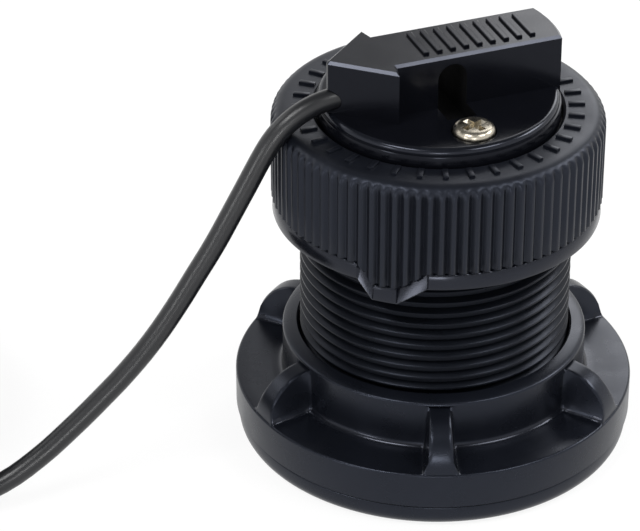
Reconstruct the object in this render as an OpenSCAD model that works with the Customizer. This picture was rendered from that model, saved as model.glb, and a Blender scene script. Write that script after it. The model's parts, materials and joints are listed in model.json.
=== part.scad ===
// Thru-hull sonar transducer: threaded housing, hull nut, cap nut and a removable sensing insert.
// Millimetres, +Z up, +X the way the arrow handle points, origin at the centre of the base.

/* [Housing] */
// Outside diameter of the hull thread
thread_d = 50.8; // [48:0.2:54]
// Pitch of the hull thread
thread_pitch = 2.3; // [1.8:0.1:2.8]
// Depth of the hull thread
thread_depth = 1.2; // [0.8:0.1:1.4]
// Height of the housing, from its outer face to the top of the barrel
housing_h = 62; // [58:1:72]
// Radius of the hull flange
flange_r = 37.2; // [35:0.1:40]
// Thickness of the hull flange
flange_t = 4.5; // [3.6:0.1:6]
// Rounding of the flange's lower edge
flange_edge = 2.6; // [1.5:0.1:3]
// Wall of the barrel under the thread
barrel_wall = 4.2; // [3.8:0.1:4.6]
// Width of the notch that stops the insert from turning
key_w = 5; // [4:0.5:7]
// Depth of that notch, down from the top of the barrel
key_h = 4; // [3:0.5:6]

/* [Hull nut] */
// Radius of the nut's flange
nut_r = 37.7; // [35:0.1:41]
// Thickness of the nut's flange
nut_flange_t = 7.5; // [6:0.1:9]
// Full height of the nut
nut_h = 17.7; // [15:0.1:20]
// Wall of the nut's collar
nut_wall = 3; // [2.5:0.1:4]
// Number of gusset ribs
rib_count = 6; // [4:1:8]
// Thickness of a gusset rib
rib_w = 4.6; // [3:0.1:6]
// Step from the rim of the flange in to the foot of a rib
rib_step = 0.4; // [0.3:0.1:1.6]
// Direction of the first rib, in degrees from the arrow
rib_turn = 9.5; // [0:0.5:60]
// Play between a nut and the thread
nut_play = 0.3; // [0.2:0.05:0.5]

/* [Cap nut] */
// Wall of the cap nut, out to the tops of its ribs
cap_wall = 5; // [4.4:0.1:7]
// Full height of the cap nut, without its tab
cap_h = 20.8; // [18:0.1:24]
// Thickness of its top
cap_top_t = 2.9; // [2.4:0.1:4]
// Rounding of its top edge
cap_edge = 2.6; // [1.5:0.1:2.8]
// Number of grip ribs
grip_count = 90; // [60:2:110]
// Depth of a grip rib
grip_depth = 0.6; // [0.4:0.05:0.8]
// Height of the plain lip under the grip ribs
lip_h = 3; // [2:0.1:5]
// Step from the grip ribs in to the lip
lip_step = 0.2; // [0:0.1:0.5]
// Angle that the tab takes at the lip
tab_angle = 24; // [16:1:40]
// Angle that the tab takes at its lower edge
tab_foot_angle = 11; // [6:1:15]
// Drop of the tab below the lip
tab_drop = 3.6; // [2:0.1:5]
// Direction of the tab, in degrees from the arrow
tab_turn = 51.5; // [0:0.5:90]
// Number of raised ticks on the top face
tick_count = 36; // [12:4:48]
// Length of a tick
tick_l = 3; // [1.5:0.1:3.2]
// Width of a tick
tick_w = 1; // [0.6:0.1:1.6]
// Height of a tick
tick_h = 0.4; // [0.2:0.1:0.6]

/* [Insert] */
// Play between the insert and the bore, on the radius
insert_play = 0.2; // [0.1:0.05:0.3]
// Wall of the insert's tube
insert_wall = 3; // [2.4:0.1:3.4]
// Step from the thread's root in to the rim of the insert's shoulder
shoulder_step = 0.2; // [0.1:0.1:0.4]
// Thickness of the shoulder
shoulder_t = 3; // [2.4:0.1:4]
// Height of the neck above the shoulder
neck_h = 1.5; // [1:0.1:2.4]
// Play over the shoulder, under the cap nut
cap_play = 0.1; // [0.05:0.05:0.2]
// Section of the two sealing rings
ring_d = 2; // [1.6:0.1:2.4]
// Height of the lower sealing ring
lower_ring_z = 9; // [7:0.5:14]
// Height of the upper sealing ring
upper_ring_z = 50; // [40:0.5:54]
// Section of the ring under the handle
seal_d = 1.8; // [1.4:0.1:2]

/* [Handle] */
// Step from the insert's tube out to the rim of the round head
head_step = 2.6; // [2:0.1:2.8]
// Play between the round head and the hole in the cap nut
head_play = 0.4; // [0.3:0.1:0.5]
// Thickness of the round head
head_t = 4.6; // [4:0.1:6]
// Height of the arrow above the head
arrow_h = 10.2; // [9:0.1:12]
// Width of the arrow's shaft
shaft_w = 12.4; // [11.6:0.1:14.4]
// Width over the arrow's barbs
barb_w = 18.4; // [16:0.1:20]
// Sweep of the barbs' rear faces, from their tips in to the shaft
barb_sweep = 0.8; // [0.2:0.1:2]
// Length of the arrow's tip, from its barbs to its point
tip_l = 10.2; // [8:0.1:11]
// Step from the rim of the round head in to the arrow's point
point_step = 0.6; // [0.3:0.1:2]
// Width of the flat on the point
point_w = 0.8; // [0.6:0.1:2]
// Width of the slot across the shaft
slot_w = 5.6; // [5:0.1:6.5]
// Material left above the slot
slot_roof = 1.7; // [1.4:0.1:3]
// Depth of the slot's floor below the top of the head
slot_sink = 3.2; // [1:0.1:3.2]
// Reach of the slot to each side
slot_reach = 11; // [9.5:0.1:11.4]
// Number of raised bars on top of the shaft
bar_count = 9; // [5:1:12]
// Space between two bars
bar_step = 2.6; // [2:0.1:2.8]
// Height of a bar
bar_h = 0.5; // [0.3:0.1:0.8]
// Distance of the handle screws from the middle
screw_y = 16.2; // [15.6:0.1:16.6]
// Shank diameter of the handle screws
screw_d = 3; // [2.5:0.1:3.5]
// Length of the handle screws under the head
screw_l = 14; // [10:0.5:18]
// Head diameter of the handle screws
screw_head_d = 7.6; // [6:0.1:8]
// Head height of the handle screws
screw_head_h = 1.8; // [1.4:0.1:2.2]

/* [Sensing element] */
// Wall of the cork sleeve round the ceramic disc
sleeve_t = 4; // [3.6:0.1:5]
// Thickness of the ceramic disc
element_t = 8.6; // [6:0.1:10]
// Thickness of the face under the disc
window_t = 3.5; // [2.5:0.1:4.5]
// Depth of the face behind the housing's outer face
face_sink = 0.2; // [0.1:0.1:0.6]
// Thickness of the cork behind the disc
backing_t = 3; // [2:0.1:5]
// Height of the potting above the cork
potting_h = 10; // [6:0.5:12]
// Diameter of the temperature probe
probe_d = 3; // [2:0.1:3.2]
// Length of the temperature probe
probe_l = 14; // [12:0.5:16]
// Thickness of the circuit board
board_t = 1.6; // [1:0.1:2.4]
// Diameter of the transformer
core_d = 14; // [10:0.5:16]
// Wall of the transformer's ring
core_wall = 4; // [3:0.5:4.5]
// Height of the transformer
core_h = 9; // [6:0.5:12]
// Diameter of an inner wire
wire_d = 1.2; // [0.8:0.1:1.6]
// Play round inner pieces
fit = 0.05; // [0.02:0.01:0.1]

/* [Cable] */
// Diameter of the cable
cable_d = 4; // [3.6:0.1:4.4]
// Height of the cable above the round head
cable_rise = 2.5; // [2.3:0.1:3.4]
// Outside diameter of the rubber sleeve round the cable
gland_d = 6.4; // [5.8:0.1:7]
// Length of the rubber sleeve
gland_l = 4; // [3:0.5:5]
// Depth of the rubber sleeve behind the arrow's point
gland_sink = 5.8; // [5:0.1:6]
// Radius of the well in the handle where the cable's wires come up
well_r = 4.2; // [3.8:0.1:4.4]
// Turns of the coil side by side
coil_across = 6; // [4:1:7]
// Turns of the coil on top of each other
coil_layers = 6; // [3:1:7]
// Radius to the middle of the coil's turns
coil_r = 30; // [26:1:34]
// Thickness of a coil tie
tie_t = 1.2; // [0.8:0.1:2]
// Width of a coil tie, as an angle of the coil
tie_angle = 18; // [10:1:30]

/* [Connector] */
// Diameter of the grip
grip_d = 15.6; // [15:0.1:18]
// Length of the grip
grip_l = 20; // [16:0.5:26]
// Length of the tapered boot behind the grip
boot_l = 12; // [8:0.5:18]
// Diameter of the locking nut
lock_d = 14.4; // [13.6:0.1:14.8]
// Length of the locking nut
lock_l = 12; // [10:0.5:16]
// Diameter of the plug's nose
nose_d = 8.6; // [8:0.1:9]
// Length of the plug's nose
nose_l = 16; // [13:0.5:18]
// Number of contact pins
pin_count = 5; // [3:1:6]
// Diameter of a contact pin
pin_d = 1; // [0.8:0.1:1.2]
// Diameter of the circle of pins
pin_circle = 4.6; // [4:0.1:5]

/* [Hidden] */
$fn = 96;
eps = 0.01;

black_plastic = "#2b2d34";
dark_plastic = "#202228";

thread_r = thread_d / 2;
root_r = thread_r - thread_depth;
bore_r = root_r - barrel_wall;
nut_bore_r = thread_r + nut_play;
collar_r = nut_bore_r + nut_wall;

insert_r = bore_r - insert_play;
chamber_r = insert_r - insert_wall;
seal_r = insert_r + 0.2;
shoulder_r = root_r - shoulder_step;
shoulder_top = housing_h + shoulder_t;
neck_top = shoulder_top + neck_h;
head_r = insert_r + head_step;
head_top = neck_top + head_t;
arrow_top = head_top + arrow_h;
point_x = head_r - point_step;
barb_x = point_x - tip_l;

cap_under = shoulder_top + cap_play;
cap_top = cap_under + cap_top_t;
cap_foot = cap_top - cap_h;
cap_r = nut_bore_r + cap_wall;
cap_root = cap_r - grip_depth;
cap_hole_r = head_r + head_play;
lip_r = cap_r - lip_step;
tick_r = cap_hole_r + 1;

window_r = chamber_r + 1.4;
element_z = face_sink + window_t;
fill_r = chamber_r - fit;
element_r = fill_r - sleeve_t - fit;
backing_z = element_z + element_t;
potting_z = backing_z + backing_t;
board_z = potting_z + potting_h;
board_top = board_z + board_t;
board_scale = fill_r / 16.75;
core_y = (fill_r - 2.7) - core_d / 2;
wire_r = wire_d / 2;
probe_r = probe_d / 2;
probe_x = -(element_r + chamber_r) / 2;
probe_top = face_sink + probe_l;
lead_x = 0.4 * element_r;

cable_r = cable_d / 2;
cable_z = head_top + cable_rise;
gland_x = point_x - gland_sink - gland_l;
well_x = gland_x + 1.2 - well_r;
cable_start = gland_x - 0.5;

coil_half = coil_across * cable_d / 2;
coil_x = 121;
coil_y = cable_r - coil_r - coil_half;
coil_in = coil_r - coil_half;
coil_out = coil_r + coil_half;
coil_foot = tie_t;
coil_top = coil_foot + coil_layers * cable_d;

connector_x = coil_x + 31;
connector_y = coil_y + 8;
connector_z = coil_top + grip_d / 2 + fit;
tail_z = coil_top + cable_r + fit;

// Where the cable runs, from the well in the handle out of the arrow's point and down to the coil
cable_route = [[cable_start, 0, cable_z], [19.4, 0, cable_z], [22, 0, 73.37], [24.5, 0, 72.74],
               [26.9, 0, 71.73], [29.1, 0, 70.35], [31.06, 0, 68.64], [32.73, 0, 66.65], [34.15, 0, 64.47],
               [35.5, 0, 62.15], [37.2, 0, 59.1], [40.1, 0, 54], [43.5, 0, 48.1], [47.5, 0, 42], [51.5, 0, 36],
               [56, 0, 30], [61, 0, 24.5], [66.5, 0, 19.4], [72.5, 0, 14.3], [79, 0, 9.4], [86, 0, 5.6],
               [94, 0, 3.6], [102, 0, 3.2], [108, 0, 3.2]];

// Where the end of the cable lies on the coil, from its last turn up to the connector
tail_route = [for (p = [[20, 34.5, 0], [24.5, 31, 0.6], [28, 26.5, 1.9], [30.2, 21, 3.6], [31, 15.5, 5.2]])
                 [coil_x + p.x, coil_y + p.y, tail_z + p.z]];
tail_end = [for (gap = [3.5, fit]) [connector_x, connector_y + gap, connector_z]];

// Upright cylinder between two heights
module rod(r, z0, z1) {
    translate([0, 0, z0])
        cylinder(r = r, h = z1 - z0);
}

// Upright tube between two heights
module tube(r_in, r_out, z0, z1) {
    rotate_extrude()
        translate([r_in, z0])
            square([r_out - r_in, z1 - z0]);
}

// Ring of round section
module torus(r, d, z) {
    rotate_extrude()
        translate([r, z])
            circle(d = d, $fn = 32);
}

// Sealing ring squeezed between a groove's floor and the wall outside it
module seal_ring(z) {
    torus(bore_r - ring_d / 2 - fit, ring_d, z);
}

// Quarter round of a solid's outer edge, for a rotate_extrude outline
function edge_arc(r, z, edge, a0, a1) =
    [for (i = [0 : 6]) [r + edge * cos(a0 + (a1 - a0) * i / 6), z + edge * sin(a0 + (a1 - a0) * i / 6)]];

// Tube swept along a route of points
function unit(v) = v / norm(v);
function heading(p, i) = unit(p[min(i + 1, len(p) - 1)] - p[max(i - 1, 0)]);
function side(d) = unit(cross([0, 0, 1], d));
function ring_at(p, i, r, n) =
    let (d = heading(p, i), s = side(d), u = cross(d, s))
    [for (k = [0 : n - 1]) p[i] + r * (cos(360 * k / n) * s + sin(360 * k / n) * u)];

module sweep(p, r, n = 10) {
    last = len(p) - 1;
    points = [for (i = [0 : last]) each ring_at(p, i, r, n)];
    sides = [for (i = [0 : last - 1]) for (k = [0 : n - 1]) let (m = (k + 1) % n)
                [i * n + k, (i + 1) * n + k, (i + 1) * n + m, i * n + m]];
    start = [for (k = [0 : n - 1]) k];
    end = [for (k = [n - 1 : -1 : 0]) last * n + k];
    polyhedron(points, concat(sides, [start, end]), convexity = 6);
}

module housing() {
    turns = floor((housing_h - flange_t - 3) / thread_pitch);
    color(black_plastic)
        difference() {
            rotate_extrude()
                polygon(concat(
                    [[bore_r, 0]],
                    edge_arc(flange_r - flange_edge, flange_edge, flange_edge, -90, 0),
                    [[flange_r, flange_t], [root_r, flange_t]],
                    [for (i = [0 : turns - 1]) each thread_turn(flange_t + 1.5 + i * thread_pitch)],
                    [[root_r, housing_h], [bore_r, housing_h]]));
            translate([bore_r - 1, -key_w / 2 - insert_play, housing_h - key_h - insert_play])
                cube([root_r - 1.2 - bore_r + 1, key_w + 2 * insert_play, key_h + 1]);
        }
}

// One turn of the thread as a ridge with a narrow flat crest
function thread_turn(z) =
    let (crest = thread_pitch / 8, flank = (thread_pitch - 2 * crest) / 2)
    [[root_r, z], [thread_r, z + flank], [thread_r, z + flank + crest], [root_r, z + 2 * flank + crest]];

module hull_nut() {
    rib_reach = nut_r - rib_step - collar_r;
    rib_h = nut_h - nut_flange_t;
    color(black_plastic)
        translate([0, 0, flange_t]) {
            rotate_extrude()
                polygon(concat(
                    [[nut_bore_r, 0], [nut_r, 0]],
                    edge_arc(nut_r - 0.6, nut_flange_t - 0.6, 0.6, 0, 90),
                    [[collar_r + 0.8, nut_flange_t], [collar_r, nut_flange_t + 0.8]],
                    edge_arc(collar_r - 0.6, nut_h - 0.6, 0.6, 0, 90),
                    [[nut_bore_r, nut_h]]));
            for (i = [0 : rib_count - 1])
                rotate([0, 0, rib_turn + i * 360 / rib_count])
                    translate([collar_r - 1, rib_w / 2, nut_flange_t - 0.5])
                        rotate([90, 0, 0])
                            linear_extrude(rib_w)
                                polygon(concat(
                                    [[0, 0], [1 + rib_reach, 0]],
                                    [for (a = [0 : 10 : 90])
                                        [0.6 + (rib_reach + 0.4) * cos(a), 0.2 + (rib_h - 1.3) * sin(a)]],
                                    [[0, rib_h - 1.1]]));
        }
}

// Outline of the grip ribs
function grip_outline() =
    let (step = 360 / grip_count)
    [for (i = [0 : grip_count - 1]) for (j = [0 : 3])
        let (r = j < 2 ? cap_root : cap_r, a = step * (i + [0, 0.4, 0.55, 0.85][j]))
        [r * cos(a), r * sin(a)]];

module cap_nut() {
    color(black_plastic) {
        difference() {
            union() {
                rotate_extrude()
                    polygon(concat(
                        [[0, cap_foot], [lip_r, cap_foot], [lip_r, cap_foot + lip_h]],
                        [[cap_root, cap_foot + lip_h]],
                        edge_arc(cap_root - cap_edge, cap_top - cap_edge, cap_edge, 0, 90),
                        [[0, cap_top]]));
                translate([0, 0, cap_foot + lip_h])
                    linear_extrude(cap_h - lip_h - cap_edge)
                        polygon(grip_outline());
                cap_tab();
            }
            rod(nut_bore_r, cap_foot - tab_drop - 1, cap_under);
            rod(cap_hole_r, cap_foot, cap_top + 1);
        }
        for (i = [0 : tick_count - 1])
            rotate([0, 0, i * 360 / tick_count])
                translate([tick_r, -tick_w / 2, cap_top - 0.2])
                    cube([tick_l, tick_w, tick_h + 0.2]);
    }
}

// Tab that hangs under the lip, cut out of a ring by its own slanted sides
module cap_tab() {
    reach = lip_r + 2;
    intersection() {
        rod(lip_r, cap_foot - tab_drop, cap_foot + 0.5);
        rotate([0, 0, tab_turn])
            rotate([90, 0, 90])
                translate([0, 0, nut_bore_r * cos(tab_angle / 2) - 1])
                    linear_extrude(reach)
                        polygon([
                            [-lip_r * sin(tab_angle / 2), cap_foot + 1],
                            [-lip_r * sin(tab_angle / 2), cap_foot],
                            [-lip_r * sin(tab_foot_angle / 2), cap_foot - tab_drop],
                            [lip_r * sin(tab_foot_angle / 2), cap_foot - tab_drop],
                            [lip_r * sin(tab_angle / 2), cap_foot],
                            [lip_r * sin(tab_angle / 2), cap_foot + 1]]);
    }
}

module insert_body() {
    boss_h = screw_l + 1.5;
    groove_r = bore_r - ring_d - 2 * fit;
    color(dark_plastic)
        difference() {
            union() {
                difference() {
                    union() {
                        rod(insert_r, face_sink, housing_h);
                        rod(shoulder_r, housing_h, shoulder_top);
                        rod(head_r, shoulder_top, neck_top);
                        translate([insert_r - 1, -key_w / 2, housing_h - key_h])
                            cube([root_r - 1.4 - insert_r + 1, key_w, key_h]);
                    }
                    rod(chamber_r, element_z - eps, neck_top + 1);
                    rod(window_r, -1, element_z);
                }
                intersection() {
                    rod(chamber_r + 0.5, neck_top - boss_h, neck_top);
                    for (s = [-1, 1])
                        translate([0, s * (screw_y + 1), 0])
                            rod(screw_d / 2 + 2.2, neck_top - boss_h, neck_top);
                }
            }
            for (z = [lower_ring_z, upper_ring_z])
                tube(groove_r, insert_r + 1, z - ring_d * 0.65, z + ring_d * 0.65);
            tube(seal_r - seal_d * 0.65, seal_r + seal_d * 0.65, neck_top - seal_d - fit, neck_top + 1);
            for (s = [-1, 1])
                translate([0, s * screw_y, 0])
                    rod(screw_d / 2 + fit, neck_top - screw_l - 0.5, neck_top + 1);
        }
}

module handle() {
    tail_r = head_r - 0.1;
    spot = 0.5;
    color(black_plastic) {
        difference() {
            union() {
                rotate_extrude()
                    polygon([
                        [0, neck_top], [head_r - 0.4, neck_top], [head_r, neck_top + 0.4],
                        [head_r, head_top - 1.4], [head_r - 0.3, head_top - 1.1],
                        [head_r - 0.3, head_top - 0.6], [head_r - 0.9, head_top], [0, head_top]]);
                translate([0, 0, head_top - 1.5])
                    linear_extrude(arrow_h + 1.5)
                        intersection() {
                            circle(r = tail_r);
                            polygon([
                                [point_x, -point_w / 2], [point_x, point_w / 2],
                                [barb_x, barb_w / 2], [barb_x - barb_sweep, shaft_w / 2],
                                [-head_r - 1, shaft_w / 2], [-head_r - 1, -shaft_w / 2],
                                [barb_x - barb_sweep, -shaft_w / 2], [barb_x, -barb_w / 2]]);
                        }
            }
            translate([-slot_w / 2, -slot_reach, head_top - slot_sink])
                cube([slot_w, 2 * slot_reach, arrow_h + slot_sink - slot_roof - slot_w / 2]);
            translate([0, slot_reach, arrow_top - slot_roof - slot_w / 2])
                rotate([90, 0, 0])
                    cylinder(d = slot_w, h = 2 * slot_reach);
            translate([well_x, 0, 0])
                rod(well_r, neck_top - 1, cable_z + gland_d / 2);
            translate([well_x, 0, cable_z])
                rotate([0, 90, 0]) {
                    cylinder(r = cable_r + fit, h = head_r);
                    cylinder(r = gland_d / 2 + fit, h = gland_x - well_x + gland_l + fit);
                }
            for (s = [-1, 1])
                translate([0, s * screw_y, 0]) {
                    rod(screw_d / 2 + 0.2, neck_top - 1, head_top + 1);
                    rod(screw_head_d / 2 + 0.3, head_top - spot, head_top + 1);
                }
        }
        for (i = [0 : bar_count - 1])
            translate([5.4 - head_r + i * bar_step, -shaft_w / 2 + 2, arrow_top - 0.2])
                cube([1, shaft_w - 4, bar_h + 0.2]);
    }
}

module handle_screws() {
    seat = head_top - 0.5;
    color("silver")
        for (s = [-1, 1])
            translate([0, s * screw_y, 0])
                difference() {
                    rotate_extrude()
                        polygon(concat(
                            [[0, neck_top - screw_l], [screw_d / 2 - 0.6, neck_top - screw_l]],
                            [[screw_d / 2, neck_top - screw_l + 1.2], [screw_d / 2, seat]],
                            [[screw_head_d / 2, seat]],
                            edge_arc(screw_head_d / 2 - 1, seat + screw_head_h - 1, 1, 0, 90),
                            [[0, seat + screw_head_h]]));
                    for (a = [20, 110])
                        rotate([0, 0, a])
                            translate([-2, -0.5, seat + screw_head_h - 1.1])
                                cube([4, 1, 2]);
                }
}

module handle_seal() {
    color("#3a3a3a")
        torus(seal_r, seal_d, neck_top - seal_d / 2 - fit);
}

module lower_o_ring() {
    color("#3a3a3a")
        seal_ring(lower_ring_z);
}

module upper_o_ring() {
    color("#3a3a3a")
        seal_ring(upper_ring_z);
}

// Hole for the temperature probe
module probe_hole(z0, z1) {
    translate([probe_x, 0, 0])
        rod(probe_r + fit, z0, z1);
}

// Holes for the two element leads
module lead_holes(z0, z1) {
    for (s = [-1, 1])
        translate([s * lead_x, 0, 0])
            rod(wire_r + fit, z0, z1);
}

// Holes for the two probe leads
module probe_lead_holes(z0, z1) {
    for (s = [-1, 1])
        translate([probe_x, s * 0.8, 0])
            rod(wire_r / 2 + fit, z0, z1);
}

module acoustic_window() {
    color("#23262b")
        difference() {
            rod(window_r - fit, face_sink, element_z - eps);
            probe_hole(-1, element_z + 1);
        }
}

module piezo_disc() {
    color("#cfc9bb")
        rod(element_r, element_z, backing_z);
}

module element_sleeve() {
    color("#b08a5a")
        difference() {
            tube(element_r + fit, fill_r, element_z, backing_z);
            probe_hole(element_z - 1, backing_z + 1);
        }
}

module backing_disc() {
    color("#b08a5a")
        difference() {
            rod(fill_r, backing_z, potting_z);
            probe_hole(backing_z - 1, potting_z + 1);
            lead_holes(backing_z - 1, potting_z + 1);
        }
}

module temperature_probe() {
    color("#b5a25c")
        translate([probe_x, 0, 0])
            rod(probe_r, face_sink, probe_top);
}

module potting_plug() {
    color("#30343c")
        difference() {
            rod(fill_r, potting_z, board_z);
            probe_hole(potting_z - 1, max(probe_top, potting_z));
            probe_lead_holes(potting_z - 1, board_z + 1);
            lead_holes(potting_z - 1, board_z + 1);
        }
}

module circuit_board() {
    color("#1f6b3a")
        difference() {
            rod(fill_r, board_z, board_top);
            lead_holes(board_z - 1, board_top + 1);
            probe_lead_holes(board_z - 1, board_top + 1);
        }
}

module matching_transformer() {
    color("#4a4a4e")
        translate([0, core_y, 0]) {
            tube(core_d / 2 - core_wall, core_d / 2, board_top, board_top + core_h);
            rod(core_d / 2 - core_wall + eps, board_top, board_top + core_h - 1);
        }
}

module board_parts() {
    translate([0, 0, board_top])
        scale(board_scale) {
            color("#15161a") {
                translate([-11, -5.5, 0])
                    cube([7, 4, 1.6]);
                translate([2, -7, 0])
                    cube([4, 3, 1.2]);
                translate([7.5, -5, 0])
                    cube([3, 2, 1.4]);
            }
            color("#2d4a8a")
                translate([1, -12, 0])
                    rod(2.2, 0, 6);
        }
}

module element_leads() {
    color("#b33a3a")
        for (s = [-1, 1])
            translate([s * lead_x, 0, 0])
                rod(wire_r, backing_z, board_top + 0.6);
}

module probe_leads() {
    color("#d0b040")
        for (s = [-1, 1])
            translate([probe_x, s * 0.8, 0])
                rod(wire_r / 2, probe_top, board_top + 0.6);
}

module cable_conductors() {
    color("#c8c8c8")
        for (s = [-1, 1])
            translate([well_x + 1.6, s * 0.9, 0])
                rod(wire_r, board_top, cable_z);
}

module cable_gland() {
    color("#1c1c1e")
        translate([gland_x, 0, cable_z])
            rotate([0, 90, 0])
                difference() {
                    cylinder(d = gland_d, h = gland_l);
                    translate([0, 0, -1])
                        cylinder(r = cable_r + fit, h = gland_l + 2);
                }
}

module cable() {
    color(dark_plastic)
        sweep(cable_route, cable_r);
}

module cable_coil() {
    color(dark_plastic)
        translate([coil_x, coil_y, 0])
            tube(coil_in, coil_out, coil_foot, coil_top);
}

module coil_ties() {
    color("#101012")
        translate([coil_x, coil_y, 0])
            for (a = [0, 180])
                rotate([0, 0, 205 + a - tie_angle / 2])
                    rotate_extrude(angle = tie_angle)
                        difference() {
                            translate([coil_in - tie_t, coil_foot - tie_t])
                                square([2 * coil_half + 2 * tie_t, coil_top - coil_foot + 2 * tie_t]);
                            translate([coil_in - fit, coil_foot - eps])
                                square([2 * coil_half + 2 * fit, coil_top - coil_foot + 2 * eps]);
                        }
}

module cable_tail() {
    color(dark_plastic)
        sweep(concat(tail_route, tail_end), cable_r);
}

// Connector pieces stand along -Y from the end of the cable
module at_connector() {
    translate([connector_x, connector_y, connector_z])
        rotate([90, 0, 0])
            children();
}

module connector_body() {
    nut_seat = boot_l + grip_l;
    color(black_plastic)
        at_connector()
            difference() {
                rotate_extrude()
                    polygon([
                        [0, 0], [cable_r + 1, 0], [grip_d / 2 - 2, boot_l], [grip_d / 2, boot_l + 1.5],
                        [grip_d / 2, nut_seat], [nose_d / 2, nut_seat], [nose_d / 2, nut_seat + nose_l],
                        [nose_d / 2 - 1.2, nut_seat + nose_l], [nose_d / 2 - 1.2, nut_seat + 4],
                        [0, nut_seat + 4]]);
            }
}

module connector_nut() {
    foot = boot_l + grip_l + cap_play;
    color("#9a9ca0")
        at_connector()
            rotate_extrude()
                polygon([
                    [nose_d / 2 + fit, foot], [lock_d / 2 - 0.6, foot], [lock_d / 2, foot + 0.6],
                    [lock_d / 2, foot + lock_l - 2.5], [lock_d / 2 - 1.2, foot + lock_l - 2],
                    [lock_d / 2 - 1.2, foot + lock_l], [nose_d / 2 + fit, foot + lock_l]]);
}

module connector_insert() {
    foot = boot_l + grip_l + 4;
    color("#26282c")
        at_connector()
            difference() {
                rod(nose_d / 2 - 1.2 - fit, foot, foot + 3);
                for (i = [0 : pin_count - 1])
                    rotate([0, 0, i * 360 / pin_count])
                        translate([pin_circle / 2, 0, 0])
                            rod(pin_d / 2 + fit, foot - 1, foot + 4);
            }
}

module connector_pins() {
    foot = boot_l + grip_l + 4;
    color("gold")
        at_connector()
            for (i = [0 : pin_count - 1])
                rotate([0, 0, i * 360 / pin_count])
                    translate([pin_circle / 2, 0, 0])
                        rod(pin_d / 2, foot, foot + 10);
}

housing();
hull_nut();
cap_nut();
insert_body();
handle();
handle_screws();
handle_seal();
lower_o_ring();
upper_o_ring();
acoustic_window();
piezo_disc();
element_sleeve();
backing_disc();
temperature_probe();
potting_plug();
circuit_board();
matching_transformer();
board_parts();
element_leads();
probe_leads();
cable_conductors();
cable_gland();
cable();
cable_coil();
coil_ties();
cable_tail();
connector_body();
connector_nut();
connector_insert();
connector_pins();
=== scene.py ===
import json
import math

import bmesh
import bpy
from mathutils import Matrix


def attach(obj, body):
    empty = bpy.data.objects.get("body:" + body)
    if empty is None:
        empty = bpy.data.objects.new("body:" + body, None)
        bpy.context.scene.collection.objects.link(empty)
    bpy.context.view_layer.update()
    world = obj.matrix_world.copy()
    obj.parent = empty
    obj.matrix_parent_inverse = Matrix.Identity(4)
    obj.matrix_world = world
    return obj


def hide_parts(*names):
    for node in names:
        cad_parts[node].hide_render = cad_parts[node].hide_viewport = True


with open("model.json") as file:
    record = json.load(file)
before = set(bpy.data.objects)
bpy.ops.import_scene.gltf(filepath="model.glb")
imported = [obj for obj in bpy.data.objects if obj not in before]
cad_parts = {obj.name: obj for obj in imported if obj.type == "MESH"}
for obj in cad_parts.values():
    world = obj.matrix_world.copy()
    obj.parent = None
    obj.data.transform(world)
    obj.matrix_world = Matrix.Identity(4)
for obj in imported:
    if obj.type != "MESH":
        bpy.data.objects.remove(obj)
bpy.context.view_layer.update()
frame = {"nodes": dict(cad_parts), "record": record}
mm = 0.001
hair = 1e-6  # metres, to be clearly on one side of a face
mergeGap = 0.002 * mm  # vertices nearer than this are one
print("frame loaded:", len(frame["nodes"]), "nodes")


# camera

photoView = {
    "place": (0.2054, 0.4723, 0.3523),  # metres
    "pitch": 31.77,  # degrees below the horizon
    "heading": 158.9,  # degrees from +Y, anticlockwise from above
    "focalPixels": 3218,  # focal length in pixels of the 640 pixel wide frame
    "frameWidth": 640,
    "sensorWidth": 36,  # mm
    "clipStart": 0.05,  # metres
}


def placeCamera(view):
    camera = bpy.data.cameras.new("photoCamera")
    camera.sensor_fit = "HORIZONTAL"
    camera.sensor_width = view["sensorWidth"]
    camera.lens = camera.sensor_width * view["focalPixels"] / view["frameWidth"]
    camera.clip_start = view["clipStart"]
    stand = bpy.data.objects.new("photoCamera", camera)
    bpy.context.scene.collection.objects.link(stand)
    stand.location = view["place"]
    stand.rotation_euler = (math.radians(90 - view["pitch"]), 0, math.radians(view["heading"]))
    bpy.context.scene.camera = stand


placeCamera(photoView)


# modelling helpers

def clearSelection():
    if bpy.context.object and bpy.context.object.mode != "OBJECT":
        bpy.ops.object.mode_set(mode="OBJECT")
    bpy.ops.object.select_all(action="DESELECT")


def makeActive(piece):
    clearSelection()
    piece.select_set(True)
    bpy.context.view_layer.objects.active = piece


def openMesh(piece):  # edit mode with nothing selected
    makeActive(piece)
    bpy.ops.object.mode_set(mode="EDIT")
    bpy.ops.mesh.select_mode(type="VERT")
    bpy.ops.mesh.select_all(action="DESELECT")


def closeMesh(piece):  # merge what coincides and point the faces outwards
    bpy.ops.mesh.select_all(action="SELECT")
    bpy.ops.mesh.remove_doubles(threshold=mergeGap)
    bpy.ops.mesh.normals_make_consistent(inside=False)
    bpy.ops.object.mode_set(mode="OBJECT")
    return piece


def pickVerts(piece, test):  # select the vertices that pass the test
    mesh = bmesh.from_edit_mesh(piece.data)
    for v in mesh.verts:
        v.select = test(v)
    mesh.select_flush_mode()
    bmesh.update_edit_mesh(piece.data)


def pickEdges(piece, test):  # select the edges that pass the test
    mesh = bmesh.from_edit_mesh(piece.data)
    bpy.ops.mesh.select_mode(type="EDGE")
    for e in mesh.edges:
        e.select_set(test(e))
    bmesh.update_edit_mesh(piece.data)


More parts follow.
